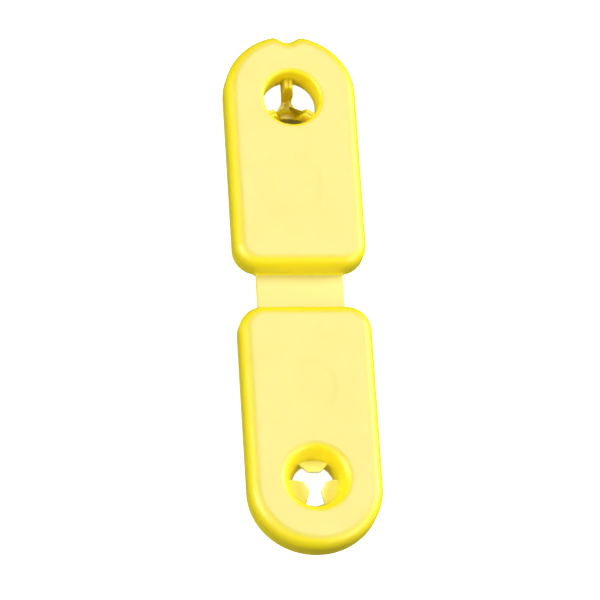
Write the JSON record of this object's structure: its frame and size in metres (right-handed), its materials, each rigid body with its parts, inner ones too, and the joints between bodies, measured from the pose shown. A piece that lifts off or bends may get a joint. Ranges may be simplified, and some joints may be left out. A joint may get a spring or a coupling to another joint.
{
  "type": "folding wire connector",
  "caption": "Folding plastic wire connector: thick rounded pods on a thin strap, gripping petals in a funnel hole and a finned stud in the other hole.",
  "frame": {"origin": "centre of the strap in plan, level with the tip of the stud, which is the lowest point", "axes": "+X across the pods; +Y along the object, from the socket pod to the stud pod; +Z out of the top faces, where the hole rims are"},
  "size_m": [0.025, 0.1022, 0.0098],
  "materials": {
    "pod_plastic": "satin moulded polypropylene",
    "strap_plastic": "satin moulded polypropylene",
    "petal_plastic": "satin moulded polypropylene",
    "stud_plastic": "satin moulded polypropylene"
  },
  "bodies": {
    "socket_half": {"socket_pod": "pod_plastic", "socket_strap": "strap_plastic"},
    "fold_link": {"fold_web": "strap_plastic"},
    "stud_half": {"stud_strap": "strap_plastic", "stud_pod": "pod_plastic", "finned_stud": "stud_plastic"},
    "petal_1": {"gripping_petal_1": "petal_plastic"},
    "petal_2": {"gripping_petal_2": "petal_plastic"},
    "petal_3": {"gripping_petal_3": "petal_plastic"}
  },
  "joints": [
    {"name": "fold_at_socket", "type": "hinge", "parent": "socket_half", "child": "fold_link", "pos_m": [0, -0.00065, 0.00465], "axis": [-1, 0, 0], "range_deg": [0, 90], "stiffness_Nm_per_rad": 0.05},
    {"name": "fold_at_stud", "type": "hinge", "parent": "fold_link", "child": "stud_half", "pos_m": [0, 0.00065, 0.00465], "axis": [-1, 0, 0], "range_deg": [0, 90], "stiffness_Nm_per_rad": 0.05},
    {"name": "petal_flex_1", "type": "hinge", "parent": "socket_half", "child": "petal_1", "pos_m": [0, -0.03405, 0.00585], "axis": [-1, 0, 0], "range_deg": [0, 30], "stiffness_Nm_per_rad": 0.01},
    {"name": "petal_flex_2", "type": "hinge", "parent": "socket_half", "child": "petal_2", "pos_m": [-0.00329, -0.03975, 0.00585], "axis": [0.5, -0.866, 0], "range_deg": [0, 30], "stiffness_Nm_per_rad": 0.01},
    {"name": "petal_flex_3", "type": "hinge", "parent": "socket_half", "child": "petal_3", "pos_m": [0.00329, -0.03975, 0.00585], "axis": [0.5, 0.866, 0], "range_deg": [0, 30], "stiffness_Nm_per_rad": 0.01}
  ],
  "couplings": [
    {"joint": "fold_at_stud", "follows": "fold_at_socket", "ratio": 1}
  ]
}
